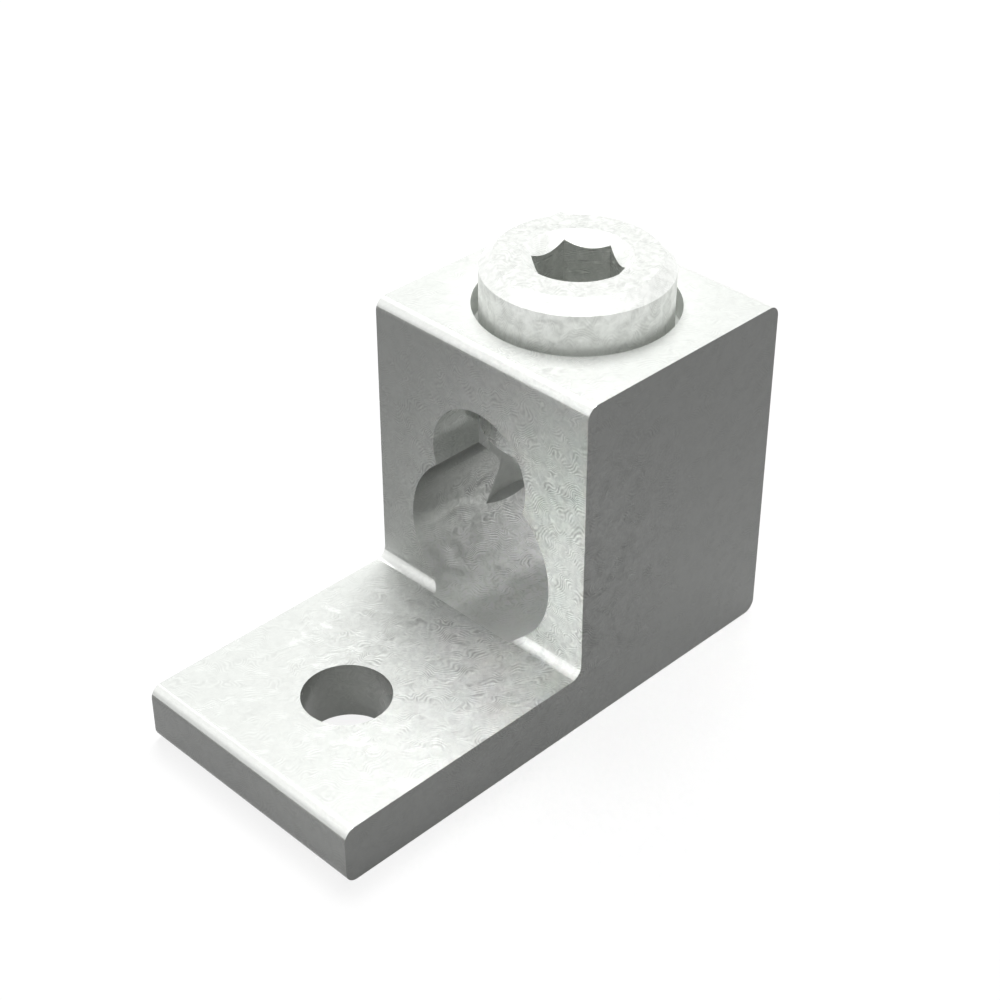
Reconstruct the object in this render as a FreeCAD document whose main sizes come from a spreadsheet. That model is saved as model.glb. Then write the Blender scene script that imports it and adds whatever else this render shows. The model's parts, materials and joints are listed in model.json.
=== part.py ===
"""Mechanical lug: a drilled and tapped aluminium body and its socket set screw.

Millimetres. The origin is on the axis of the stud hole, on the underside. +X runs from the
stud hole towards the block that holds the wire, +Y runs across the width, and +Z is up.
"""
import FreeCAD, Part
import math
import os

import Sketcher

# Driving sizes: alias, value, what it measures.
SIZES = [
    ("lug_length", 57.15, "tang end to back of block"),
    ("lug_width", 27.94, "sawn width of the extrusion"),
    ("block_height", 36.83, "underside to top of block"),
    ("block_length", 26.67, "front face to back face of block"),
    ("tang_thickness", 6.35, "flat tongue that is bolted down"),
    ("corner_radius", 1.27, "rounded outer corners of the extrusion"),
    ("foot_radius", 1.27, "fillet between tang and block"),
    ("stud_hole_diameter", 8.89, "clearance hole for the stud"),
    ("stud_offset", 12.7, "tang end to stud hole axis"),
    ("wire_bore_diameter", 18.94, "round bore that takes the conductor"),
    ("bore_floor", 4.62, "wall left under the wire bore"),
    ("neck_diameter", 12.5, "smaller bore above, that makes the keyhole"),
    ("neck_rise", 9.71, "neck axis above wire bore axis"),
    ("bore_runout", 1.27, "how far the wire bore runs on past the front face"),
    ("mouth_diameter", 20.4, "relief at the top of the screw hole"),
    ("mouth_depth", 3.0, "depth of that relief"),
    ("drill_tip_gap", 0.25, "screw hole's drill point above the bore's floor"),
    ("point_angle", 118, "full angle of a drill point, degrees"),
    ("screw_diameter", 18.92, "set screw blank"),
    ("screw_clearance", 0.06, "radial gap between screw and its hole"),
    ("screw_length", 18.4, "tip to top of the set screw"),
    ("screw_stand", 5.07, "top of the screw above the block at rest"),
    ("top_chamfer", 1.3, "chamfer round the top of the screw"),
    ("tip_chamfer", 0.25, "broken edge round the tip of the screw"),
    ("socket_flats", 7.94, "hexagon socket across flats"),
    ("socket_depth", 9.5, "depth of the broached hexagon"),
    ("countersink_diameter", 10.68, "45 degree lead-in of the socket"),
    ("pilot_allowance", 0.3, "socket's drilled hole under its across-flats size"),
    ("pilot_extra", 1.0, "drilled hole below the broached hexagon"),
]

# Sizes that follow from the driving ones: alias, formula, what it measures.
DERIVED = [
    ("front_face_x", "=lug_length - stud_offset - block_length", "front face of the block"),
    ("screw_axis_x", "=lug_length - stud_offset - block_length / 2", "screw axis, mid block"),
    ("bore_axis_z", "=bore_floor + wire_bore_diameter / 2", "wire bore axis"),
    ("neck_axis_z", "=bore_axis_z + neck_rise", "neck axis"),
    ("screw_hole_diameter", "=screw_diameter + 2 * screw_clearance", "hole round the screw"),
    ("hole_point_height", "=screw_hole_diameter / 2 / tan(point_angle / 2 * 1deg)",
     "height of the screw hole's drill point"),
    ("screw_hole_end_z", "=bore_floor + drill_tip_gap + hole_point_height",
     "end of the full diameter of the screw hole"),
    ("screw_tip_z", "=block_height + screw_stand - screw_length", "screw tip at rest"),
    ("pilot_diameter", "=socket_flats - pilot_allowance", "hole drilled before broaching"),
    ("pilot_end", "=screw_length - socket_depth - pilot_extra", "end of that hole's full diameter"),
    ("pilot_point_height", "=pilot_diameter / 2 / tan(point_angle / 2 * 1deg)",
     "height of the pilot hole's drill point"),
]

MIN_VOLUME_CHANGE = 1.0


def fill_sheet(doc):
    """Writes the driving and derived sizes, one to a row, each under its alias."""
    sheet = doc.addObject("Spreadsheet::Sheet", "Sizes")
    for row, (alias, value, note) in enumerate(SIZES + DERIVED, start=1):
        sheet.set(f"A{row}", note)
        sheet.set(f"B{row}", str(value))
        sheet.setAlias(f"B{row}", alias)
    doc.recompute()
    return sheet


def origin_plane(body, role):
    """Finds one of the body's own origin planes, such as XZ_Plane."""
    return next(item for item in body.Origin.OriginFeatures if item.Role == role)


def new_sketch(body, name, role, **offsets):
    """Starts a sketch on an origin plane, moved by bound offsets x, y or z in the plane's axes."""
    sketch = body.newObject("Sketcher::SketchObject", name)
    sketch.AttachmentSupport = (origin_plane(body, role), [""])
    sketch.MapMode = "FlatFace"
    for axis, formula in offsets.items():
        sketch.setExpression(f"AttachmentOffset.Base.{axis}", formula)
    return sketch


def bind(sketch, name, formula, *arguments):
    """Adds a dimension between the given points and binds it to a formula in the sheet."""
    index = sketch.addConstraint(Sketcher.Constraint(*arguments))
    sketch.renameConstraint(index, name)
    sketch.setExpression(f"Constraints.{name}", formula)


def closed_outline(sketch, points):
    """Draws straight lines round the rough points, joined end to end."""
    corners = [FreeCAD.Vector(x, y, 0) for x, y in points]
    for start, end in zip(corners, corners[1:] + corners[:1]):
        sketch.addGeometry(Part.LineSegment(start, end), False)
    count = len(corners)
    for line in range(count):
        sketch.addConstraint(Sketcher.Constraint("Coincident", line, 2, (line + 1) % count, 1))


def square_up(sketch, horizontal, vertical):
    """Makes the named lines horizontal or vertical."""
    for line in horizontal:
        sketch.addConstraint(Sketcher.Constraint("Horizontal", line))
    for line in vertical:
        sketch.addConstraint(Sketcher.Constraint("Vertical", line))


def circle_sketch(body, name, role, diameter, height=None, **offsets):
    """Draws one circle, centred on the sketch's own origin or on its vertical axis."""
    sketch = new_sketch(body, name, role, **offsets)
    sketch.addGeometry(Part.Circle(FreeCAD.Vector(0, 5, 0), FreeCAD.Vector(0, 0, 1), 5), False)
    if height is None:
        sketch.addConstraint(Sketcher.Constraint("Coincident", 0, 3, -1, 1))
    else:
        sketch.addConstraint(Sketcher.Constraint("PointOnObject", 0, 3, -2))
        bind(sketch, "height", height, "DistanceY", -1, 1, 0, 3, 5.0)
    bind(sketch, "diameter", diameter, "Diameter", 0, 10.0)
    return sketch


def cut_through(body, name, sketch, reverse):
    """Pockets the sketch through everything on one side of it."""
    pocket = body.newObject("PartDesign::Pocket", name)
    pocket.Profile = sketch
    pocket.Type = "ThroughAll"
    pocket.Reversed = reverse
    return pocket


def revolve(body, kind, name, sketch):
    """Turns the sketch a full turn about its own vertical axis, to add or to cut."""
    feature = body.newObject(f"PartDesign::{kind}", name)
    feature.Profile = sketch
    feature.ReferenceAxis = (sketch, ["V_Axis"])
    feature.Angle = 360
    return feature


def checked(doc, body, feature, before):
    """Recomputes, and stops unless the feature changed the body's volume."""
    doc.recompute()
    change = abs(body.Shape.Volume - before)
    if change < MIN_VOLUME_CHANGE:
        raise RuntimeError(f"{feature.Name} changed nothing")
    return body.Shape.Volume


def edges_across(shape, x, z):
    """Names the edges that run across the width at x and z."""
    names = []
    for number, edge in enumerate(shape.Edges, start=1):
        ends = [vertex.Point for vertex in edge.Vertexes]
        if all(abs(point.x - x) < 1e-4 and abs(point.z - z) < 1e-4 for point in ends):
            names.append(f"Edge{number}")
    return names


def round_edges(doc, body, name, base, places, radius):
    """Fillets the edges that run across the width at each of the places."""
    names = [found for x, z in places for found in edges_across(base.Shape, x, z)]
    if len(names) != len(places):
        raise RuntimeError(f"{name} found {len(names)} edges for {len(places)} corners")
    fillet = body.newObject("PartDesign::Fillet", name)
    fillet.Base = (base, names)
    fillet.setExpression("Radius", radius)
    doc.recompute()
    return fillet


def make_profile(body):
    """The extrusion's section: a flat tang and a tall block, seen from the side."""
    sketch = new_sketch(body, "ProfileSketch", "XZ_Plane")
    closed_outline(sketch, [(-12, 0), (44, 0), (44, 36), (17, 36), (17, 6), (-12, 6)])
    square_up(sketch, horizontal=(0, 2, 4), vertical=(1, 3, 5))
    sketch.addConstraint(Sketcher.Constraint("PointOnObject", 0, 1, -1))
    bind(sketch, "stud_offset", "Sizes.stud_offset", "DistanceX", 0, 1, -1, 1, 12.0)
    bind(sketch, "length", "Sizes.lug_length", "DistanceX", 0, 1, 0, 2, 56.0)
    bind(sketch, "height", "Sizes.block_height", "DistanceY", 1, 1, 1, 2, 36.0)
    bind(sketch, "block", "Sizes.block_length", "DistanceX", 2, 2, 2, 1, 27.0)
    bind(sketch, "tang", "Sizes.tang_thickness", "DistanceY", 5, 2, 5, 1, 6.0)
    return sketch


def make_screw_hole_section(body):
    """Half section of the screw hole: relief, full diameter and drill point."""
    sketch = new_sketch(body, "ScrewHoleSketch", "XZ_Plane", x="Sizes.screw_axis_x")
    closed_outline(sketch, [(0, 4), (9, 10), (9, 35), (10, 35), (10, 37), (0, 37)])
    square_up(sketch, horizontal=(2, 4), vertical=(1, 3, 5))
    sketch.addConstraint(Sketcher.Constraint("PointOnObject", 0, 1, -2))
    bind(sketch, "tip", "Sizes.bore_floor + Sizes.drill_tip_gap", "DistanceY", -1, 1, 0, 1, 4.0)
    bind(sketch, "end", "Sizes.screw_hole_end_z", "DistanceY", -1, 1, 1, 1, 10.0)
    bind(sketch, "radius", "Sizes.screw_hole_diameter / 2", "DistanceX", -1, 1, 1, 1, 9.0)
    bind(sketch, "relief", "Sizes.mouth_depth", "DistanceY", 3, 1, 3, 2, 2.0)
    bind(sketch, "mouth", "Sizes.mouth_diameter / 2", "DistanceX", -1, 1, 3, 2, 10.0)
    bind(sketch, "top", "Sizes.block_height", "DistanceY", -1, 1, 4, 1, 37.0)
    return sketch


def make_lug_body(doc, sheet):
    """The body: an extruded section, sawn to width, drilled for stud and wire, and tapped."""
    body = doc.addObject("PartDesign::Body", "LugBody")
    body.Label = "lug_body"
    pad = body.newObject("PartDesign::Pad", "Extrusion")
    pad.Profile = make_profile(body)
    pad.Midplane = True
    pad.setExpression("Length", "Sizes.lug_width")
    doc.recompute()

    tang_end = -sheet.stud_offset
    back = sheet.lug_length - sheet.stud_offset
    front = sheet.front_face_x
    top = sheet.block_height
    outer = [(tang_end, 0), (tang_end, sheet.tang_thickness), (front, top), (back, top), (back, 0)]
    corners = round_edges(doc, body, "OuterCorners", pad, outer, "Sizes.corner_radius")
    foot = [(front, sheet.tang_thickness)]
    round_edges(doc, body, "FootFillet", corners, foot, "Sizes.foot_radius")
    volume = body.Shape.Volume

    bore_start = "Sizes.front_face_x - Sizes.bore_runout"
    bore = circle_sketch(body, "WireBoreSketch", "YZ_Plane", "Sizes.wire_bore_diameter",
                         "Sizes.bore_axis_z", z=bore_start)
    volume = checked(doc, body, cut_through(body, "WireBore", bore, True), volume)
    neck = circle_sketch(body, "NeckSketch", "YZ_Plane", "Sizes.neck_diameter",
                         "Sizes.neck_axis_z", z=bore_start)
    volume = checked(doc, body, cut_through(body, "Neck", neck, True), volume)

    screw_hole = revolve(body, "Groove", "ScrewHole", make_screw_hole_section(body))
    volume = checked(doc, body, screw_hole, volume)

    centre = circle_sketch(body, "StudHoleSketch", "XY_Plane", "Sizes.stud_hole_diameter",
                           z="Sizes.tang_thickness")
    doc.recompute()
    stud_hole = body.newObject("PartDesign::Hole", "StudHole")
    stud_hole.Profile = centre
    stud_hole.DepthType = "ThroughAll"
    stud_hole.DrillPoint = "Flat"
    stud_hole.setExpression("Diameter", "Sizes.stud_hole_diameter")
    checked(doc, body, stud_hole, volume)
    return body


def make_screw_section(body):
    """Half section of the screw blank: tip, broken edge, shank and top chamfer."""
    sketch = new_sketch(body, "BlankSketch", "XZ_Plane")
    closed_outline(sketch, [(0, 0), (8, 0), (9, 1), (9, 17), (8, 18), (0, 18)])
    square_up(sketch, horizontal=(0, 4), vertical=(2, 5))
    sketch.addConstraint(Sketcher.Constraint("Coincident", 0, 1, -1, 1))
    bind(sketch, "radius", "Sizes.screw_diameter / 2", "DistanceX", -1, 1, 2, 1, 9.0)
    bind(sketch, "length", "Sizes.screw_length", "DistanceY", -1, 1, 4, 2, 18.0)
    bind(sketch, "tip_width", "Sizes.tip_chamfer", "DistanceX", 1, 1, 1, 2, 1.0)
    bind(sketch, "tip_height", "Sizes.tip_chamfer", "DistanceY", 1, 1, 1, 2, 1.0)
    bind(sketch, "top_width", "Sizes.top_chamfer", "DistanceX", 3, 2, 3, 1, 1.0)
    bind(sketch, "top_height", "Sizes.top_chamfer", "DistanceY", 3, 1, 3, 2, 1.0)
    return sketch


def make_pilot_section(body):
    """Half section of the hole drilled before broaching: lead-in, bore and drill point."""
    sketch = new_sketch(body, "PilotSketch", "XZ_Plane")
    closed_outline(sketch, [(0, 5), (4, 8), (4, 17), (5, 18), (0, 18)])
    square_up(sketch, horizontal=(3,), vertical=(1, 4))
    sketch.addConstraint(Sketcher.Constraint("PointOnObject", 0, 1, -2))
    bind(sketch, "radius", "Sizes.pilot_diameter / 2", "DistanceX", -1, 1, 1, 1, 4.0)
    bind(sketch, "end", "Sizes.pilot_end", "DistanceY", -1, 1, 1, 1, 8.0)
    bind(sketch, "point", "Sizes.pilot_point_height", "DistanceY", 0, 1, 0, 2, 3.0)
    bind(sketch, "rim", "Sizes.countersink_diameter / 2", "DistanceX", -1, 1, 3, 1, 5.0)
    bind(sketch, "top", "Sizes.screw_length", "DistanceY", -1, 1, 3, 1, 18.0)
    bind(sketch, "lead_in", "(Sizes.countersink_diameter - Sizes.pilot_diameter) / 2",
         "DistanceY", 2, 1, 2, 2, 1.0)
    return sketch


def make_hexagon(body):
    """The key's hexagon at the top of the screw, with two of its corners along the lug."""
    sketch = new_sketch(body, "HexagonSketch", "XY_Plane", z="Sizes.screw_length")
    corner = 4.5
    turns = [math.radians(60 * step) for step in range(6)]
    closed_outline(sketch, [(corner * math.cos(turn), corner * math.sin(turn)) for turn in turns])
    circle = sketch.addGeometry(
        Part.Circle(FreeCAD.Vector(0, 0, 0), FreeCAD.Vector(0, 0, 1), corner), True)
    sketch.addConstraint(Sketcher.Constraint("Coincident", circle, 3, -1, 1))
    for line in range(6):
        sketch.addConstraint(Sketcher.Constraint("PointOnObject", line, 1, circle))
    for line in range(1, 6):
        sketch.addConstraint(Sketcher.Constraint("Equal", 0, line))
    sketch.addConstraint(Sketcher.Constraint("PointOnObject", 0, 1, -1))
    bind(sketch, "corner", "Sizes.socket_flats / 2 / cos(30deg)", "Radius", circle, corner)
    return sketch


def make_set_screw(doc):
    """The set screw: a turned blank, drilled and broached for a hexagon key."""
    body = doc.addObject("PartDesign::Body", "SetScrew")
    body.Label = "set_screw"
    revolve(body, "Revolution", "Blank", make_screw_section(body))
    doc.recompute()
    volume = body.Shape.Volume
    pilot = revolve(body, "Groove", "Pilot", make_pilot_section(body))
    volume = checked(doc, body, pilot, volume)
    socket = body.newObject("PartDesign::Pocket", "Socket")
    socket.Profile = make_hexagon(body)
    socket.setExpression("Length", "Sizes.socket_depth")
    checked(doc, body, socket, volume)
    body.setExpression("Placement.Base.x", "Sizes.screw_axis_x")
    body.setExpression("Placement.Base.z", "Sizes.screw_tip_z")
    return body


def check_document(doc, bodies):
    """Stops unless every object recomputed and each body is one valid solid."""
    doc.recompute()
    for item in doc.Objects:
        if "Invalid" in item.State or "Error" in item.State:
            raise RuntimeError(f"{item.Name} is {item.State}")
    for body in bodies:
        shape = body.Shape
        if shape.isNull() or not shape.isValid() or len(shape.Solids) != 1:
            raise RuntimeError(f"{body.Label} is not one valid solid")


def export(bodies):
    """Writes each body to its own file, named after its label."""
    os.makedirs("parts", exist_ok=True)
    for body in bodies:
        body.Shape.exportStep(f"parts/{body.Label}.step")
        box = body.Shape.BoundBox
        print(f"{body.Label}: {body.Shape.Volume:.1f} mm3, x {box.XMin:.2f} to {box.XMax:.2f}, "
              f"y {box.YMin:.2f} to {box.YMax:.2f}, z {box.ZMin:.2f} to {box.ZMax:.2f}")


def main():
    """Builds the lug and writes its pieces."""
    doc = FreeCAD.newDocument("MechanicalLug")
    sheet = fill_sheet(doc)
    bodies = [make_lug_body(doc, sheet), make_set_screw(doc)]
    check_document(doc, bodies)
    export(bodies)


main()
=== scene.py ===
"""Dresses the mechanical lug: its drilled and tapped body, and its set screw.

Lengths are in metres. The origin is on the axis of the stud hole, on the underside, with +X
towards the block, +Y across the width and +Z up.
"""
import json
import logging
import math
from collections.abc import Callable, Sequence
from dataclasses import dataclass, field
from enum import Enum, IntEnum

import bmesh
import bpy
from mathutils import Matrix, Vector


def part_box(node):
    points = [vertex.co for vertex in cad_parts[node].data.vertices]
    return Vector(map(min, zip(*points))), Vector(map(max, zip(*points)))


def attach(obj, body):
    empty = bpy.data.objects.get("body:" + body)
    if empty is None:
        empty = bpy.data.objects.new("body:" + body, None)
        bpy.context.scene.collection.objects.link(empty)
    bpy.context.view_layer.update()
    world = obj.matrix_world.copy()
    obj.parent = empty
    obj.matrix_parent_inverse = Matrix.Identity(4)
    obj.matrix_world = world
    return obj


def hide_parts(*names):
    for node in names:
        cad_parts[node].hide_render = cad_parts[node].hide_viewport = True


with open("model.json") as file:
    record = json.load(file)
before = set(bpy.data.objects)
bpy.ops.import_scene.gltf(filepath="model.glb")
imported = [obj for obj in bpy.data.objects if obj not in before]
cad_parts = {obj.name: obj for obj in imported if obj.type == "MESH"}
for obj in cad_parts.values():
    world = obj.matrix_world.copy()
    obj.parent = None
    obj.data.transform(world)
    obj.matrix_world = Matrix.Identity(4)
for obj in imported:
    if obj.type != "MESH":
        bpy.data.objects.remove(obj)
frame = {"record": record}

MM = 0.001
LOG = logging.getLogger("mechanical_lug")
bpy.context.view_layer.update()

ROUND_STEPS = 160
CORNER_STEPS = 8
ROUND_PROFILE = 0.5
HEX_SIDES = 6
SMOOTH_ANGLE = math.radians(28)
FLAT_ANGLE = math.radians(1)
NEARLY_LEVEL = 0.99

# Cutters reach PAST the faces that they open, and a thread cutter starts OFF_WALL.
PAST = 2 * MM
OFF_WALL = 0.1 * MM
DRILL_TIP = 0.02 * MM

# Lengths within SAME are taken as equal, and corners within MERGED become one.
SAME = 0.01 * MM
MERGED = 0.0005 * MM

# A thread of 16 turns to the inch, and its groove's half widths as shares of the pitch.
THREAD_PITCH = 25.4 * MM / 16
GROOVE_OPEN = 0.44
GROOVE_ROOT = 0.06

NOISE_MIDDLE = 0.5
WHITE = (1.0, 1.0, 1.0)

Points = list[Vector]
Rings = list[tuple[float, float]]
Triple = tuple[float, float, float]
Socket = bpy.types.NodeSocket


class Pick(Enum):
    """The kind of element that is selected in edit mode."""

    EDGES = "EDGE"
    FACES = "FACE"


class BodyZone(IntEnum):
    """The finishes of the body's blank, in the order of its material slots."""

    PLATED = 0
    # Upward rounded faces, with a painted highlight.
    BURNISHED = 1


class ScrewZone(IntEnum):
    """The finishes of the screw's blank, in the order of its material slots."""

    PLATED = 0
    FACED = 1
    PLAIN_END = 2


def mount(name: str) -> dict:
    """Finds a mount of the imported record.

    Args:
        name: the mount's name.

    Returns:
        The record's entry for it.
    """
    return next(item for item in frame["record"]["mounts"] if item["name"] == name)


def select_none() -> None:
    """Deselects every object."""
    bpy.ops.object.select_all(action="DESELECT")


def select_only(piece: bpy.types.Object) -> None:
    """Makes one object the only selected one, and the active one.

    Args:
        piece: the object to select.
    """
    select_none()
    piece.select_set(True)
    bpy.context.view_layer.objects.active = piece


def settle_new(name: str) -> bpy.types.Object:
    """Names the object that was just added, and puts its place, turn and scale into its mesh.

    Args:
        name: its new name.

    Returns:
        The object.
    """
    piece = bpy.context.object
    piece.name = name
    piece.data.name = name
    select_only(piece)
    bpy.ops.object.transform_apply(location=True, rotation=True, scale=True)
    return piece


def pick(piece: bpy.types.Object, kind: Pick, wanted: Callable[[Points], bool]) -> None:
    """Selects, in edit mode, only the elements whose corners pass a test.

    Args:
        piece: the object being edited.
        kind: edges or faces.
        wanted: the test on an element's corner points.
    """
    bpy.ops.mesh.select_mode(type=kind.value)
    bpy.ops.mesh.select_all(action="DESELECT")
    mesh = bmesh.from_edit_mesh(piece.data)
    for item in mesh.edges if kind is Pick.EDGES else mesh.faces:
        if wanted([corner.co.copy() for corner in item.verts]):
            item.select_set(True)
    bmesh.update_edit_mesh(piece.data)


def near(value: float, target: float) -> bool:
    """Tells whether two lengths are the same.

    Args:
        value: the first length.
        target: the second length.

    Returns:
        True if they differ by less than a hundredth of a millimetre.
    """
    return abs(value - target) < SAME


def cut(piece: bpy.types.Object, cutter: bpy.types.Object) -> None:
    """Takes a cutter's shape out of a piece, and deletes the cutter.

    Args:
        piece: the object to cut.
        cutter: a closed mesh, whose finish the new walls take.
    """
    modifier = piece.modifiers.new("Cut", "BOOLEAN")
    modifier.object = cutter
    modifier.operation = "DIFFERENCE"
    modifier.solver = "EXACT"
    modifier.material_mode = "TRANSFER"
    select_only(piece)
    bpy.ops.object.modifier_apply(modifier=modifier.name)
    bpy.data.objects.remove(cutter, do_unlink=True)


def face_outwards() -> None:
    """Merges doubles and turns every face outwards, in edit mode."""
    bpy.ops.mesh.select_all(action="SELECT")
    bpy.ops.mesh.remove_doubles(threshold=MERGED)
    bpy.ops.mesh.normals_make_consistent(inside=False)


def turned(name: str, axis: Vector, rings: Sequence[tuple[float, float]]) -> bpy.types.Object:
    """Turns a solid about an upright axis, from the bottom ring up.

    Args:
        name: the new object's name.
        axis: a point on the axis, at height zero of the rings.
        rings: the radius and height of each ring.

    Returns:
        The closed solid.
    """
    select_none()
    radius, height = rings[0]
    bpy.ops.mesh.primitive_circle_add(
        vertices=ROUND_STEPS, radius=radius, fill_type="NGON",
        location=axis + Vector((0, 0, height)))
    piece = settle_new(name)
    bpy.ops.object.mode_set(mode="EDIT")
    bpy.ops.mesh.select_mode(type="FACE")
    bpy.ops.mesh.select_all(action="SELECT")
    for next_radius, next_height in rings[1:]:
        bpy.ops.mesh.extrude_region_move(
            TRANSFORM_OT_translate={"value": (0, 0, next_height - height)})
        scale = next_radius / radius
        if scale != 1.0:
            centre = axis + Vector((0, 0, next_height))
            bpy.ops.transform.resize(value=(scale, scale, 1), center_override=centre)
        radius, height = next_radius, next_height
    face_outwards()
    bpy.ops.object.mode_set(mode="OBJECT")
    return piece


def drill_along_x(name: str, start: Vector, length: float, radius: float) -> bpy.types.Object:
    """Makes a level drill's shape along +X.

    Args:
        name: the new object's name.
        start: the centre of its first end.
        length: how far it reaches.
        radius: its radius.

    Returns:
        The closed cylinder.
    """
    select_none()
    bpy.ops.mesh.primitive_cylinder_add(
        vertices=ROUND_STEPS, radius=radius, depth=length,
        location=start + Vector((length / 2, 0, 0)), rotation=(0, math.pi / 2, 0))
    return settle_new(name)


def thread_groove(name: str, axis: Vector, start: float, turns: float, open_radius: float,
                  root_radius: float) -> bpy.types.Object:
    """Makes the V groove of a thread, wound as a right-handed helix.

    Args:
        name: the new object's name.
        axis: a point on the thread's upright axis, at height zero.
        start: the height of the groove's first section.
        turns: how many turns it makes.
        open_radius: the radius at the groove's open side, a little past the wall.
        root_radius: the radius at the groove's point.

    Returns:
        The closed helical cutter.
    """
    half_open = GROOVE_OPEN * THREAD_PITCH
    half_root = GROOVE_ROOT * THREAD_PITCH
    section = [(open_radius, half_open), (root_radius, half_root), (root_radius, -half_root),
               (open_radius, -half_open)]
    select_none()
    bpy.ops.mesh.primitive_circle_add(vertices=len(section), fill_type="NOTHING", location=axis)
    piece = bpy.context.object
    for corner, (radius, height) in zip(piece.data.vertices, section):
        corner.co = Vector((radius, 0, start + height))
    winding = piece.modifiers.new("Winding", "SCREW")
    winding.angle = math.tau * turns
    winding.screw_offset = THREAD_PITCH * turns
    winding.iterations = 1
    winding.steps = round(ROUND_STEPS * turns)
    winding.render_steps = winding.steps
    select_only(piece)
    bpy.ops.object.modifier_apply(modifier=winding.name)
    settle_new(name)
    bpy.ops.object.mode_set(mode="EDIT")
    bpy.ops.mesh.select_all(action="SELECT")
    bpy.ops.mesh.fill_holes(sides=len(section))
    face_outwards()
    bpy.ops.object.mode_set(mode="OBJECT")
    return piece


def finish_surface(piece: bpy.types.Object) -> None:
    """Cleans a cut mesh and smooths its round stretches up to its real edges.

    Args:
        piece: the object to finish.
    """
    select_only(piece)
    bpy.ops.object.mode_set(mode="EDIT")
    bpy.ops.mesh.select_all(action="SELECT")
    bpy.ops.mesh.remove_doubles(threshold=MERGED)
    bpy.ops.mesh.dissolve_degenerate(threshold=MERGED)
    bpy.ops.object.mode_set(mode="OBJECT")
    bpy.ops.object.shade_smooth_by_angle(angle=SMOOTH_ANGLE)
    weights = piece.modifiers.new("Weights", "WEIGHTED_NORMAL")
    weights.keep_sharp = True
    bpy.ops.object.modifier_apply(modifier=weights.name)


def new_material(name: str) -> bpy.types.Material:
    """Adds a node material with a plain shader.

    Args:
        name: its name.

    Returns:
        The material.
    """
    material = bpy.data.materials.new(name)
    material.use_nodes = True
    return material


@dataclass(frozen=True)
class Graph:
    """The nodes of one material or world, and the ways to add to them."""

    tree: bpy.types.NodeTree

    def feed(self, target: Socket, value: Socket | Triple | float) -> None:
        """Links an input to a value that varies, or sets it to a plain one.

        Args:
            target: the input.
            value: an output to link, or a plain value.
        """
        if isinstance(value, bpy.types.NodeSocket):
            self.tree.links.new(value, target)
        else:
            target.default_value = value

    def math(self, operation: str, first: Socket, second: Socket | float = 0.0) -> Socket:
        """Joins two values.

        Args:
            operation: the way to join them.
            first: the first value.
            second: the second value.

        Returns:
            The result.
        """
        node = self.tree.nodes.new("ShaderNodeMath")
        node.operation = operation
        self.feed(node.inputs[0], first)
        self.feed(node.inputs[1], second)
        return node.outputs["Value"]

    def vector(self, operation: str, first: Socket, second: Triple) -> bpy.types.Node:
        """Joins a vector that varies and a plain one.

        Args:
            operation: the way to join them.
            first: the vector that varies.
            second: the plain vector.

        Returns:
            The node, with its outputs Vector and Value.
        """
        node = self.tree.nodes.new("ShaderNodeVectorMath")
        node.operation = operation
        self.feed(node.inputs[0], first)
        self.feed(node.inputs[1], second)
        return node

    def scaled(self, vector: Socket, share: Socket) -> Socket:
        """Scales a vector or colour.

        Args:
            vector: what is scaled.
            share: how much of it is left.

        Returns:
            The scaled vector.
        """
        node = self.tree.nodes.new("ShaderNodeVectorMath")
        node.operation = "SCALE"
        self.feed(node.inputs["Vector"], vector)
        self.feed(node.inputs["Scale"], share)
        return node.outputs["Vector"]

    def part(self, vector: Socket, letter: str) -> Socket:
        """Takes one part of a vector.

        Args:
            vector: the vector.
            letter: X, Y or Z.

        Returns:
            That part.
        """
        node = self.tree.nodes.new("ShaderNodeSeparateXYZ")
        self.feed(node.inputs["Vector"], vector)
        return node.outputs[letter]

    def noise(self, place: Socket, size: float, detail: float, twist: float = 0.0) -> Socket:
        """Adds a noise pattern.

        Args:
            place: the coordinates that it reads.
            size: the size of its cells.
            detail: how many finer layers it has.
            twist: how much it is distorted.

        Returns:
            The pattern's value.
        """
        node = self.tree.nodes.new("ShaderNodeTexNoise")
        node.inputs["Scale"].default_value = 1.0 / size
        node.inputs["Detail"].default_value = detail
        node.inputs["Distortion"].default_value = twist
        self.feed(node.inputs["Vector"], place)
        return node.outputs["Fac"]

    def ramp(self, value: Socket, low: float = 0.0, high: float = 1.0, first: float = 0.0,
             last: float = 1.0) -> Socket:
        """Leads from a first to a last value while another one rises.

        Args:
            value: the value that rises.
            low: where the change starts.
            high: where it ends.
            first: what is given up to the start.
            last: what is given from the end.

        Returns:
            The changing value.
        """
        node = self.tree.nodes.new("ShaderNodeMapRange")
        node.inputs["From Min"].default_value = low
        node.inputs["From Max"].default_value = high
        node.inputs["To Min"].default_value = first
        node.inputs["To Max"].default_value = last
        self.feed(node.inputs["Value"], value)
        return node.outputs["Result"]

    def mix(self, share: Socket, first: Triple, second: Triple) -> Socket:
        """Mixes two plain colours.

        Args:
            share: how much of the second one shows.
            first: the first colour.
            second: the second colour.

        Returns:
            The mixed colour.
        """
        node = self.tree.nodes.new("ShaderNodeMix")
        node.data_type = "RGBA"
        node.inputs["A"].default_value = (*first, 1.0)
        node.inputs["B"].default_value = (*second, 1.0)
        self.feed(node.inputs["Factor"], share)
        return node.outputs["Result"]


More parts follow.
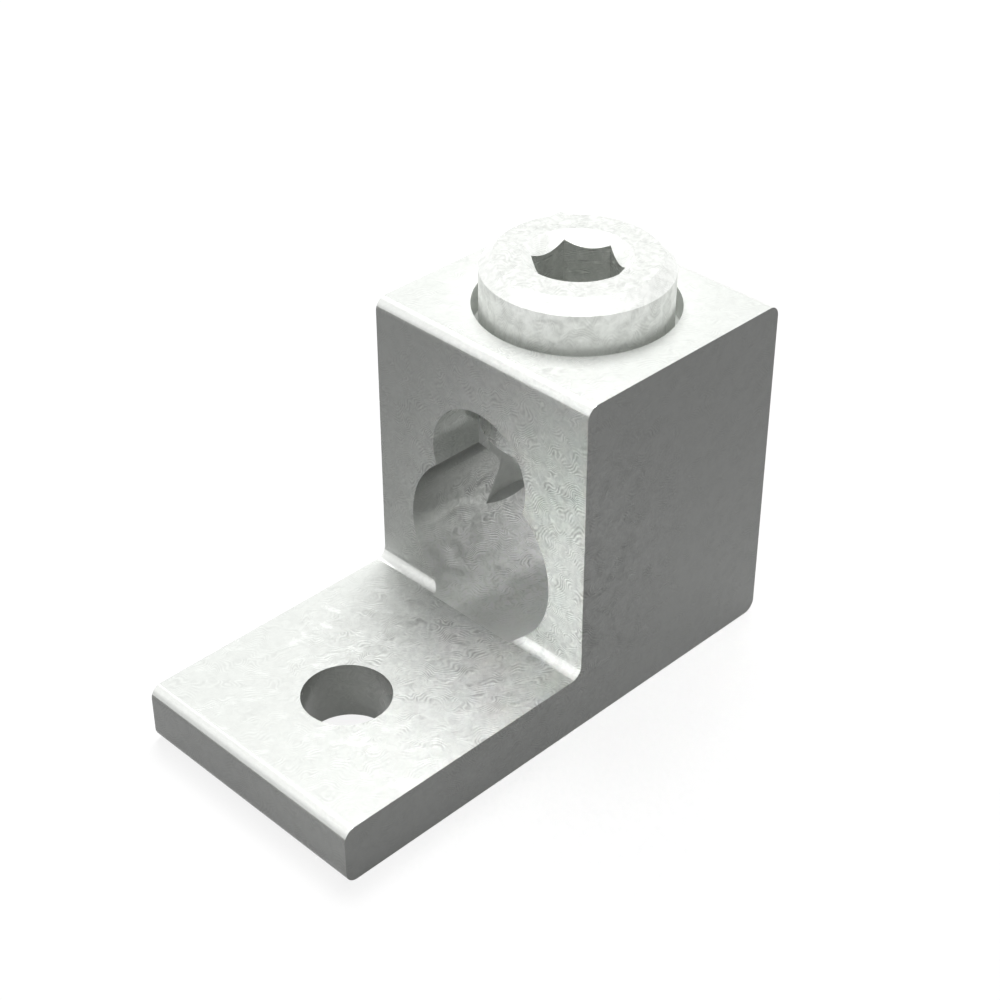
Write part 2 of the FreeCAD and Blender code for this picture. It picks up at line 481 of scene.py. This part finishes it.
@dataclass(frozen=True)
class PlatedFinish:
    """A frosted plating with fine ripples, clouds and specks, over machined aluminium.

    The ripples are waves along one direction, bent by a noise. They lie in patches and fade
    away from the worn place. Painted shade darkens some walls with height and above a slanted
    edge, and stands in for the shade inside the holes.
    """

    name: str
    colour: Triple = (0.73, 0.75, 0.722)
    stain: Triple = (0.55, 0.567, 0.543)
    roughness: float = 0.30
    polish: float = 0.06
    tarnish: float = 0.08
    metallic: float = 0.02
    cloud_size: float = 1.5 * MM
    cloud_detail: float = 5.0
    cloud_twist: float = 0.8
    cloud_span: tuple[float, float] = (0.42, 0.64)
    speck_size: float = 0.6 * MM
    speck_detail: float = 4.0
    speck_twist: float = 0.8
    speck_tint: float = 0.36
    ripple_run: Triple = (9.5 / MM, 13.0 / MM, 17.5 / MM)
    ripple_stretch: Triple = (1.0, 1.0, 1.0)
    ripple_cell: float = 2.6 * MM
    ripple_detail: float = 0.8
    ripple_twist: float = 0.4
    ripple_bend: float = 84.0
    ripple_height: float = 0.017 * MM
    ripple_tint: float = 0.27
    patch_size: float = 1.5 * MM
    patch_detail: float = 3.0
    patch_span: tuple[float, float] = (0.42, 0.62)
    grain_size: float = 0.14 * MM
    grain_detail: float = 2.0
    grain_height: float = 0.003 * MM
    sawn_side: float = 13.9 * MM
    sawn_calm: float = 0.07
    worn_place: Triple = (12 * MM, -6 * MM, 18 * MM)
    worn_span: tuple[float, float] = (12 * MM, 23 * MM)
    worn_least: float = 0.22
    # Painted shade: the colour darkens with height across this span, down to the share left.
    painted_shade_span: tuple[float, float] = (0.0, 40 * MM)
    painted_shade_least: float = 1.0
    # Painted shade above a slanted edge: the colour darkens where the place, taken along the
    # rise, crosses this span.
    painted_slant_rise: Triple = (0.25, 0.0, 1.0)
    painted_slant_span: tuple[float, float] = (0.0, 80 * MM)
    painted_slant_least: float = 1.0

    def material(self) -> bpy.types.Material:
        """Builds the finish as a node material, once.

        Returns:
            The material.
        """
        if self.name in bpy.data.materials:
            return bpy.data.materials[self.name]
        material = new_material(self.name)
        graph = Graph(material.node_tree)
        shader = graph.tree.nodes["Principled BSDF"]
        shader.inputs["Metallic"].default_value = self.metallic
        place = graph.tree.nodes.new("ShaderNodeTexCoord").outputs["Object"]
        worn = self._worn(graph, place)
        ripples = self._ripples(graph, place, worn)
        clouds = graph.noise(place, self.cloud_size, self.cloud_detail, self.cloud_twist)
        clouds = graph.math("MULTIPLY", graph.ramp(clouds, *self.cloud_span), worn)
        rough = graph.ramp(clouds, first=self.roughness - self.polish,
                           last=self.roughness + self.tarnish)
        tint = self._tint(graph, place, worn, ripples)
        colour = graph.scaled(graph.mix(clouds, self.colour, self.stain), tint)
        graph.feed(shader.inputs["Base Color"], colour)
        graph.feed(shader.inputs["Roughness"], rough)
        graph.feed(shader.inputs["Normal"], self._relief(graph, place, ripples))
        return material

    def _worn(self, graph: Graph, place: Socket) -> Socket:
        """Fades the pattern with the distance from the worn place.

        Args:
            graph: the material's nodes.
            place: the object's coordinates.

        Returns:
            The share of the pattern that is left.
        """
        reach = graph.vector("DISTANCE", place, self.worn_place).outputs["Value"]
        return graph.ramp(reach, *self.worn_span, 1.0, self.worn_least)

    def _ripples(self, graph: Graph, place: Socket, worn: Socket) -> Socket:
        """Draws fine flowing lines in patches, with fewer on the two sawn sides.

        Args:
            graph: the material's nodes.
            place: the object's coordinates.
            worn: the share of the pattern that is left.

        Returns:
            The lines, from -1 to 1, and zero between the patches.
        """
        drawn = graph.vector("MULTIPLY", place, self.ripple_stretch).outputs["Vector"]
        bend = graph.noise(drawn, self.ripple_cell, self.ripple_detail, self.ripple_twist)
        bend = graph.math("MULTIPLY", bend, self.ripple_bend)
        run = graph.vector("DOT_PRODUCT", drawn, self.ripple_run).outputs["Value"]
        lines = graph.math("SINE", graph.math("ADD", bend, run))
        outward = graph.math("ABSOLUTE", graph.part(place, "Y"))
        sawn = graph.math("GREATER_THAN", outward, self.sawn_side)
        calm = graph.math("MULTIPLY", sawn, -self.sawn_calm)
        spots = graph.math("ADD", graph.noise(place, self.patch_size, self.patch_detail), calm)
        patches = graph.math("MULTIPLY", graph.ramp(spots, *self.patch_span), worn)
        return graph.math("MULTIPLY", lines, patches)

    def _tint(self, graph: Graph, place: Socket, worn: Socket, ripples: Socket) -> Socket:
        """Joins ripples, specks and the painted shade, by height and above a slanted edge, into
        one share of the colour.

        Args:
            graph: the material's nodes.
            place: the object's coordinates.
            worn: the share of the pattern that is left.
            ripples: the ripple lines.

        Returns:
            The share of the colour that is left.
        """
        specks = graph.noise(place, self.speck_size, self.speck_detail, self.speck_twist)
        specks = graph.math("SUBTRACT", specks, NOISE_MIDDLE)
        specks = graph.math("MULTIPLY", specks, worn)
        specks = graph.math("MULTIPLY", specks, self.speck_tint / NOISE_MIDDLE)
        pattern = graph.math("MULTIPLY", ripples, self.ripple_tint)
        pattern = graph.math("ADD", pattern, specks)
        # Painted shade by height, and again above a slanted edge.
        top = graph.ramp(graph.part(place, "Z"), *self.painted_shade_span, 1.0, self.painted_shade_least)
        rise = graph.vector("DOT_PRODUCT", place, self.painted_slant_rise).outputs["Value"]
        painted_slant = graph.ramp(rise, *self.painted_slant_span, 1.0, self.painted_slant_least)
        return graph.math("ADD", pattern, graph.math("MULTIPLY", top, painted_slant))

    def _relief(self, graph: Graph, place: Socket, ripples: Socket) -> Socket:
        """Raises the ripples and the grain of the plating.

        Args:
            graph: the material's nodes.
            place: the object's coordinates.
            ripples: the ripple lines.

        Returns:
            The bumped normal.
        """
        grain = graph.noise(place, self.grain_size, self.grain_detail)
        normal = None
        for pattern, height in ((ripples, self.ripple_height), (grain, self.grain_height)):
            bump = graph.tree.nodes.new("ShaderNodeBump")
            bump.inputs["Strength"].default_value = 1.0
            bump.inputs["Distance"].default_value = height
            graph.feed(bump.inputs["Height"], pattern)
            if normal is not None:
                graph.feed(bump.inputs["Normal"], normal)
            normal = bump.outputs["Normal"]
        return normal


@dataclass
class LugBody:
    """The lug's body: an extruded L section, drilled for stud, wire and screw, and tapped."""

    low: Vector
    high: Vector
    tang: float = mount("stud_hole")["dims"]["length_mm"] * MM
    stud_radius: float = mount("stud_hole")["dims"]["r_mm"] * MM
    block: float = mount("wire_bore")["dims"]["length_mm"] * MM
    bore_radius: float = mount("wire_bore")["dims"]["r_mm"] * MM
    bore_height: float = mount("wire_bore")["pos_m"][2]
    corner: float = 1.27 * MM
    run_in: float = 1.27 * MM
    neck_radius: float = 6.25 * MM
    neck_rise: float = 9.71 * MM
    hole_radius: float = 9.52 * MM
    hole_end: float = 10.59 * MM
    point_height: float = 5.72 * MM
    mouth_radius: float = 10.2 * MM
    mouth_depth: float = 3.0 * MM
    relief: tuple[float, float] = (30.4 * MM, 31.0 * MM)
    # Painted highlight: rounded faces tilted up past this take a lighter, shinier finish.
    painted_highlight_tilt: float = 0.36
    plating: PlatedFinish = PlatedFinish("FrostedBody")
    # Painted highlight: a lighter, more metallic finish on the upward rounded corners and the
    # foot fillet, for their bright glint.
    painted_highlight: PlatedFinish = PlatedFinish(
        "PaintedHighlightCorners", metallic=0.6, roughness=0.36,
        colour=(0.80, 0.815, 0.79), stain=(0.76, 0.775, 0.75),
        ripple_height=0.003 * MM, ripple_tint=0.06)
    # Wire bore walls. Painted shade darkens their upper part towards the neck, by height and
    # above a slanted edge.
    bored: PlatedFinish = PlatedFinish(
        "BoredWalls", metallic=0.58, roughness=0.36,
        colour=(0.95, 0.965, 0.94), stain=(0.99, 0.995, 0.98),
        ripple_height=0.014 * MM, ripple_tint=0.16,
        painted_shade_span=(15.5 * MM, 19 * MM), painted_shade_least=0.45,
        painted_slant_span=(15.2 * MM, 18.8 * MM), painted_slant_least=0.50,
        worn_place=(28 * MM, 7 * MM, 5 * MM), worn_span=(6 * MM, 13 * MM))
    drilled: PlatedFinish = PlatedFinish(
        "DrilledWalls", metallic=0.08, ripple_height=0.004 * MM, ripple_tint=0.1)
    # Painted shade: the tapped hole's wall darkens from 32 mm down to 24 mm and stays darker
    # below.
    tapped: PlatedFinish = PlatedFinish(
        "TappedWalls", metallic=0.08, ripple_height=0.004 * MM, ripple_tint=0.1,
        painted_shade_span=(32 * MM, 24 * MM), painted_shade_least=0.75)
    # Painted shade: the stud hole's walls take a darker colour, standing in for the shade inside
    # the hole.
    punched: PlatedFinish = PlatedFinish(
        "PaintedShadePunchedWalls", colour=(0.50, 0.515, 0.49), stain=(0.46, 0.475, 0.45),
        ripple_height=0.004 * MM, ripple_tint=0.12)

    @property
    def front(self) -> float:
        """The block's front face."""
        return self.high.x - self.block

    @property
    def screw_axis(self) -> Vector:
        """The foot of the screw's axis, at height zero."""
        return Vector((self.high.x - self.block / 2, 0, 0))

    def build(self) -> bpy.types.Object:
        """Models the body as it is made: a blank, its corners, then its holes.

        Returns:
            The finished body.
        """
        piece = self._blank()
        self._round_corners(piece)
        start = Vector((self.front - self.run_in, 0, self.bore_height))
        rise = Vector((0, 0, self.neck_rise))
        reach = self.block + self.run_in + PAST
        stud_rings = [(self.stud_radius, -PAST), (self.stud_radius, self.tang + PAST)]
        drills = [
            (turned("StudPunch", Vector((0, 0, 0)), stud_rings), self.punched),
            (drill_along_x("WireDrill", start, reach, self.bore_radius), self.bored),
            (drill_along_x("NeckDrill", start + rise, reach, self.neck_radius), self.drilled),
            (turned("ScrewDrill", self.screw_axis, self._hole_rings()), self.tapped),
            (self._tap(), self.tapped),
        ]
        for drill, finish in drills:
            drill.data.materials.append(finish.material())
            cut(piece, drill)
        finish_surface(piece)
        return piece

    def _blank(self) -> bpy.types.Object:
        """Makes the sawn L blank from a flat bar with its block drawn up.

        Returns:
            The blank, with sharp edges.
        """
        select_none()
        length = self.high.x - self.low.x
        width = self.high.y - self.low.y
        centre = ((self.low.x + self.high.x) / 2, 0, self.tang / 2)
        bpy.ops.mesh.primitive_cube_add(size=1, location=centre, scale=(length, width, self.tang))
        piece = settle_new("plated_lug_body")
        for finish in (self.plating, self.painted_highlight):
            piece.data.materials.append(finish.material())
        bpy.ops.object.mode_set(mode="EDIT")
        bpy.ops.mesh.select_all(action="SELECT")
        bpy.ops.mesh.bisect(plane_co=(self.front, 0, 0), plane_no=(1, 0, 0))
        pick(piece, Pick.FACES, self._is_block_seat)
        bpy.ops.mesh.extrude_region_move(
            TRANSFORM_OT_translate={"value": (0, 0, self.high.z - self.tang)})
        bpy.ops.mesh.select_all(action="SELECT")
        bpy.ops.mesh.dissolve_limited(angle_limit=FLAT_ANGLE)
        bpy.ops.object.mode_set(mode="OBJECT")
        return piece

    def _is_block_seat(self, corners: Points) -> bool:
        """Finds the part of the bar's top that the block stands on.

        Args:
            corners: a face's corner points.

        Returns:
            True for that face.
        """
        level = all(near(corner.z, self.tang) for corner in corners)
        return level and all(corner.x > self.front - SAME for corner in corners)

    def _round_corners(self, piece: bpy.types.Object) -> None:
        """Rounds the section's outer corners and the inner one at the block's foot.

        Args:
            piece: the blank.
        """
        bpy.ops.object.mode_set(mode="EDIT")
        pick(piece, Pick.EDGES, self._is_long_corner)
        bpy.ops.mesh.bevel(offset=self.corner, offset_type="OFFSET", segments=CORNER_STEPS,
                           profile=ROUND_PROFILE, affect="EDGES")
        bpy.ops.object.mode_set(mode="OBJECT")
        # Painted highlight: the upward-tilted rounded faces take the lighter, shinier finish.
        for face in piece.data.polygons:
            if self.painted_highlight_tilt < face.normal.z < NEARLY_LEVEL:
                face.material_index = BodyZone.BURNISHED

    def _is_long_corner(self, corners: Points) -> bool:
        """Finds the edges that run across the width at a corner of the section.

        Args:
            corners: an edge's two ends.

        Returns:
            True for such an edge.
        """
        first, second = corners
        if not near(abs(first.y - second.y), self.high.y - self.low.y):
            return False
        places = [(self.low.x, 0), (self.low.x, self.tang), (self.front, self.tang),
                  (self.front, self.high.z), (self.high.x, self.high.z), (self.high.x, 0)]
        return any(near(first.x, x) and near(first.z, z) for x, z in places)

    def _hole_rings(self) -> Rings:
        """Gives the screw hole's outline.

        Returns:
            The radius and height of each ring, from the drill point to above the mouth.
        """
        mouth = self.high.z - self.mouth_depth
        low, high = self.relief
        slope = self.mouth_radius - self.hole_radius
        return [
            (DRILL_TIP, self.hole_end - self.point_height),
            (self.hole_radius, self.hole_end),
            (self.hole_radius, low - slope / 2),
            (self.mouth_radius, low),
            (self.mouth_radius, high),
            (self.hole_radius, high + slope / 2),
            (self.hole_radius, mouth),
            (self.mouth_radius, mouth),
            (self.mouth_radius, self.high.z + PAST),
        ]

    def _tap(self) -> bpy.types.Object:
        """Makes the cutter for the thread between the relief and the mouth.

        Returns:
            The cutter.
        """
        start = self.relief[1] - THREAD_PITCH / 2
        end = self.high.z - self.mouth_depth + THREAD_PITCH / 2
        return thread_groove("Tap", self.screw_axis, start, (end - start) / THREAD_PITCH,
                             self.hole_radius - OFF_WALL, self.mouth_radius)


@dataclass
class SetScrew:
    """The set screw: a turned blank with a socket, threaded between its head and its tip."""

    low: Vector
    high: Vector
    top_chamfer: float = 1.3 * MM
    tip_chamfer: float = 0.25 * MM
    top_skin: float = 0.1 * MM
    rim_radius: float = 5.34 * MM
    flats: float = 7.94 * MM
    socket_depth: float = 9.5 * MM
    pilot_radius: float = 3.82 * MM
    pilot_extra: float = 1.0 * MM
    point_height: float = 2.3 * MM
    thread_depth: float = 0.9 * MM
    thread_span: tuple[float, float] = (30.7 * MM, 33.9 * MM)
    relief: float = 0.5 * MM
    plating: PlatedFinish = PlatedFinish(
        "FrostedScrew", metallic=0.70, roughness=0.52,
        colour=(0.93, 0.945, 0.92), stain=(0.78, 0.795, 0.77), speck_tint=0.16,
        ripple_height=0.005 * MM, ripple_tint=0.06, ripple_stretch=(1.6, 1.6, 0.7),
        worn_least=1.0)
    faced: PlatedFinish = PlatedFinish(
        "FacedTop", metallic=0.15, roughness=0.40,
        colour=(0.68, 0.695, 0.67), stain=(0.58, 0.595, 0.57),
        ripple_height=0.005 * MM, ripple_tint=0.1, worn_least=1.0)
    # Painted shade: the plain end darkens from 24.6 to 26 mm up, so only its tip stays light, as
    # if lit from below.
    plain_end: PlatedFinish = PlatedFinish(
        "PlainEnd", metallic=0.3, ripple_height=0.006 * MM, ripple_tint=0.15,
        painted_shade_span=(24.6 * MM, 26.0 * MM), painted_shade_least=0.50, worn_least=1.0)
    # Painted shade: the socket's walls take a darker colour, standing in for the shade in the
    # deep hexagon. The long streaks are the broach's.
    broached: PlatedFinish = PlatedFinish(
        "PaintedShadeBroachedWalls", colour=(0.50, 0.515, 0.49), stain=(0.41, 0.425, 0.40),
        ripple_height=0.010 * MM, ripple_tint=0.4, ripple_stretch=(0.3, 0.3, 2.5),
        worn_least=1.0)

    @property
    def axis(self) -> Vector:
        """The foot of the screw's axis, at height zero."""
        return Vector(((self.low.x + self.high.x) / 2, 0, 0))

    @property
    def radius(self) -> float:
        """The blank's radius."""
        return (self.high.x - self.low.x) / 2

    def build(self) -> bpy.types.Object:
        """Models the screw as it is made: turned, threaded, drilled and broached.

        Returns:
            The finished screw.
        """
        piece = turned("plated_set_screw", self.axis, self._blank_rings())
        for finish in (self.plating, self.faced, self.plain_end):
            piece.data.materials.append(finish.material())
        for face in piece.data.polygons:
            if face.center.z > self.high.z - self.top_skin:
                face.material_index = ScrewZone.FACED
            elif face.center.z < self.thread_span[0]:
                face.material_index = ScrewZone.PLAIN_END
        cut(piece, self._die())
        cut(piece, turned("Pilot", self.axis, self._pilot_rings()))
        broach = self._broach()
        broach.data.materials.append(self.broached.material())
        cut(piece, broach)
        finish_surface(piece)
        return piece

    def _blank_rings(self) -> Rings:
        """Gives the blank's outline, with a relief groove at each end of its thread.

        Returns:
            The radius and height of each ring, from the tip to the top.
        """
        low, high = self.thread_span
        root = self.radius - self.thread_depth
        flank = self.thread_depth / 2
        return [
            (self.radius - self.tip_chamfer, self.low.z),
            (self.radius, self.low.z + self.tip_chamfer),
            (self.radius, low - flank),
            (root, low),
            (root, low + self.relief),
            (self.radius, low + self.relief + flank),
            (self.radius, high - self.relief - flank),
            (root, high - self.relief),
            (root, high),
            (self.radius, high + flank),
            (self.radius, self.high.z - self.top_chamfer),
            (self.radius - self.top_chamfer, self.high.z),
        ]

    def _die(self) -> bpy.types.Object:
        """Makes the cutter for the thread between the two relief grooves.

        Returns:
            The cutter.
        """
        low, high = self.thread_span
        start = low + self.relief / 2
        turns = (high - low - self.relief) / THREAD_PITCH
        return thread_groove("Die", self.axis, start, turns,
                             self.radius + OFF_WALL, self.radius - self.thread_depth)

    def _pilot_rings(self) -> Rings:
        """Gives the outline of the hole drilled before broaching, with its 45 degree lead-in.

        Returns:
            The radius and height of each ring, from the drill point to above the top.
        """
        end = self.high.z - self.socket_depth - self.pilot_extra
        lead_in = self.rim_radius - self.pilot_radius
        return [
            (DRILL_TIP, end - self.point_height),
            (self.pilot_radius, end),
            (self.pilot_radius, self.high.z - lead_in),
            (self.rim_radius + PAST, self.high.z + PAST),
        ]

    def _broach(self) -> bpy.types.Object:
        """Makes the hexagon cutter, with two of its corners along the lug.

        Returns:
            The cutter.
        """
        select_none()
        depth = self.socket_depth + PAST
        centre = self.axis + Vector((0, 0, self.high.z - self.socket_depth + depth / 2))
        bpy.ops.mesh.primitive_cylinder_add(
            vertices=HEX_SIDES, radius=self.flats / 2 / math.cos(math.pi / HEX_SIDES),
            depth=depth, location=centre, rotation=(0, 0, math.pi / 2))
        return settle_new("Broach")


@dataclass(frozen=True)
class Viewpoint:
    """The photograph's viewpoint."""

    aim: Vector = field(default_factory=lambda: Vector((15.7466, -4.9526, 23.6916)) * MM)
    azimuth: float = math.radians(-45.0117)
    elevation: float = math.radians(35.0464)
    distance: float = 195.3513 * MM
    nearest: float = 1 * MM
    lens: float = 75.0505
    sensor: float = 36.0

    def place(self) -> None:
        """Adds the camera and makes it the scene's."""
        level = math.cos(self.elevation)
        back = Vector((math.sin(self.azimuth) * level, -math.cos(self.azimuth) * level,
                       math.sin(self.elevation)))
        right = Vector((math.cos(self.azimuth), math.sin(self.azimuth), 0))
        turn = Matrix((right, back.cross(right), back)).transposed()
        select_none()
        bpy.ops.object.camera_add(location=self.aim + back * self.distance,
                                  rotation=turn.to_euler())
        camera = bpy.context.object
        camera.name = "PhotoView"
        camera.data.lens = self.lens
        camera.data.sensor_width = self.sensor
        camera.data.clip_start = self.nearest
        bpy.context.scene.camera = camera


@dataclass(frozen=True)
class Lamp:
    """One soft square studio lamp, aimed at the middle of the lug unless told otherwise."""

    name: str
    place: Triple
    size: float
    power: float
    aim: Triple = (0.016, 0.0, 0.02)
    spread: float = 180.0

    def hang(self) -> None:
        """Adds the lamp, facing its aim."""
        select_none()
        facing = Vector(self.aim) - Vector(self.place)
        bpy.ops.object.light_add(type="AREA", location=self.place,
                                 rotation=facing.to_track_quat("-Z", "Y").to_euler())
        lamp = bpy.context.object
        lamp.name = self.name
        lamp.data.size = self.size
        lamp.data.energy = self.power
        lamp.data.spread = math.radians(self.spread)


@dataclass(frozen=True)
class Studio:
    """A pale floor, a white surround, soft lamps above, and two narrow ones in front."""

    floor_size: float = 4.0
    floor_colour: float = 0.16
    floor_roughness: float = 0.9
    floor_glow: float = 0.85
    bounce_colour: float = 0.10
    surround_light: float = 0.035
    lamps: tuple[Lamp, ...] = (
        Lamp("Overhead", (0.0, 0.0, 0.70), 0.50, 0.55),
        Lamp("Key", (0.212, 0.202, 0.635), 0.36, 5.05),
        Lamp("Fill", (-0.205, -0.20, 0.50), 0.30, 0.44),
        Lamp("Side", (-0.36, 0.34, 0.36), 0.35, 0.17),
        Lamp("Front", (-0.28, -0.03, 0.18), 0.02, 0.0024,
             aim=(0.018, -0.0165, 0.0145), spread=7.5),
        Lamp("FrontLow", (-0.28, 0.09, 0.03), 0.004, 0.00009,
             aim=(0.018, 0.0165, 0.0035), spread=2.4),
    )

    def set_up(self) -> None:
        """Lays the floor, lights the surround and hangs the lamps."""
        self._lay_floor()
        self._light_surround()
        for lamp in self.lamps:
            lamp.hang()
        bpy.context.scene.view_settings.view_transform = "Standard"

    def _seen(self, graph: Graph) -> Socket:
        """Gives 1 for what is seen by eye, in gloss or through glass, and 0 for bounced light.

        Args:
            graph: the nodes to add it to.

        Returns:
            The value.
        """
        path = graph.tree.nodes.new("ShaderNodeLightPath")
        total = path.outputs["Is Camera Ray"]
        for kind in ("Is Glossy Ray", "Is Transmission Ray"):
            total = graph.math("MAXIMUM", total, path.outputs[kind])
        return total

    def _lay_floor(self) -> None:
        """Adds the floor, pale to the eye and quiet in the light that it throws back."""
        select_none()
        bpy.ops.mesh.primitive_plane_add(size=self.floor_size)
        floor = settle_new("Floor")
        material = new_material("PaleFloor")
        graph = Graph(material.node_tree)
        shader = graph.tree.nodes["Principled BSDF"]
        shader.inputs["Roughness"].default_value = self.floor_roughness
        shader.inputs["Specular IOR Level"].default_value = 0.0
        shader.inputs["Emission Color"].default_value = (*WHITE, 1.0)
        seen = self._seen(graph)
        tone = graph.mix(seen, (self.bounce_colour,) * 3, (self.floor_colour,) * 3)
        graph.feed(shader.inputs["Base Color"], tone)
        graph.feed(shader.inputs["Emission Strength"], graph.ramp(seen, last=self.floor_glow))
        floor.data.materials.append(material)

    def _light_surround(self) -> None:
        """Makes the surround white to the eye and a faint light on the lug."""
        world = bpy.data.worlds.new("Surround")
        bpy.context.scene.world = world
        world.use_nodes = True
        graph = Graph(world.node_tree)
        background = graph.tree.nodes["Background"]
        background.inputs["Color"].default_value = (*WHITE, 1.0)
        level = graph.ramp(self._seen(graph), first=self.surround_light)
        graph.feed(background.inputs["Strength"], level)


def dress(piece: bpy.types.Object, node: str, body: str) -> None:
    """Gives a finished piece its place in the frame.

    Args:
        piece: the modelled piece.
        node: the part's node that it stands for.
        body: the moving body that it rides on.
    """
    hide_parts(node)
    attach(piece, body)
    LOG.info("%s: %d faces, rides on %s", piece.name, len(piece.data.polygons), body)


def main() -> None:
    """Builds the lug, dresses it and sets up the view."""
    logging.basicConfig(level=logging.INFO, format="%(name)s: %(message)s")
    Viewpoint().place()
    body = LugBody(*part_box("lug_body")).build()
    dress(body, "lug_body", "lug")
    screw = SetScrew(*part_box("set_screw")).build()
    dress(screw, "set_screw", "screw")
    Studio().set_up()


if __name__ == "__main__":
    main()
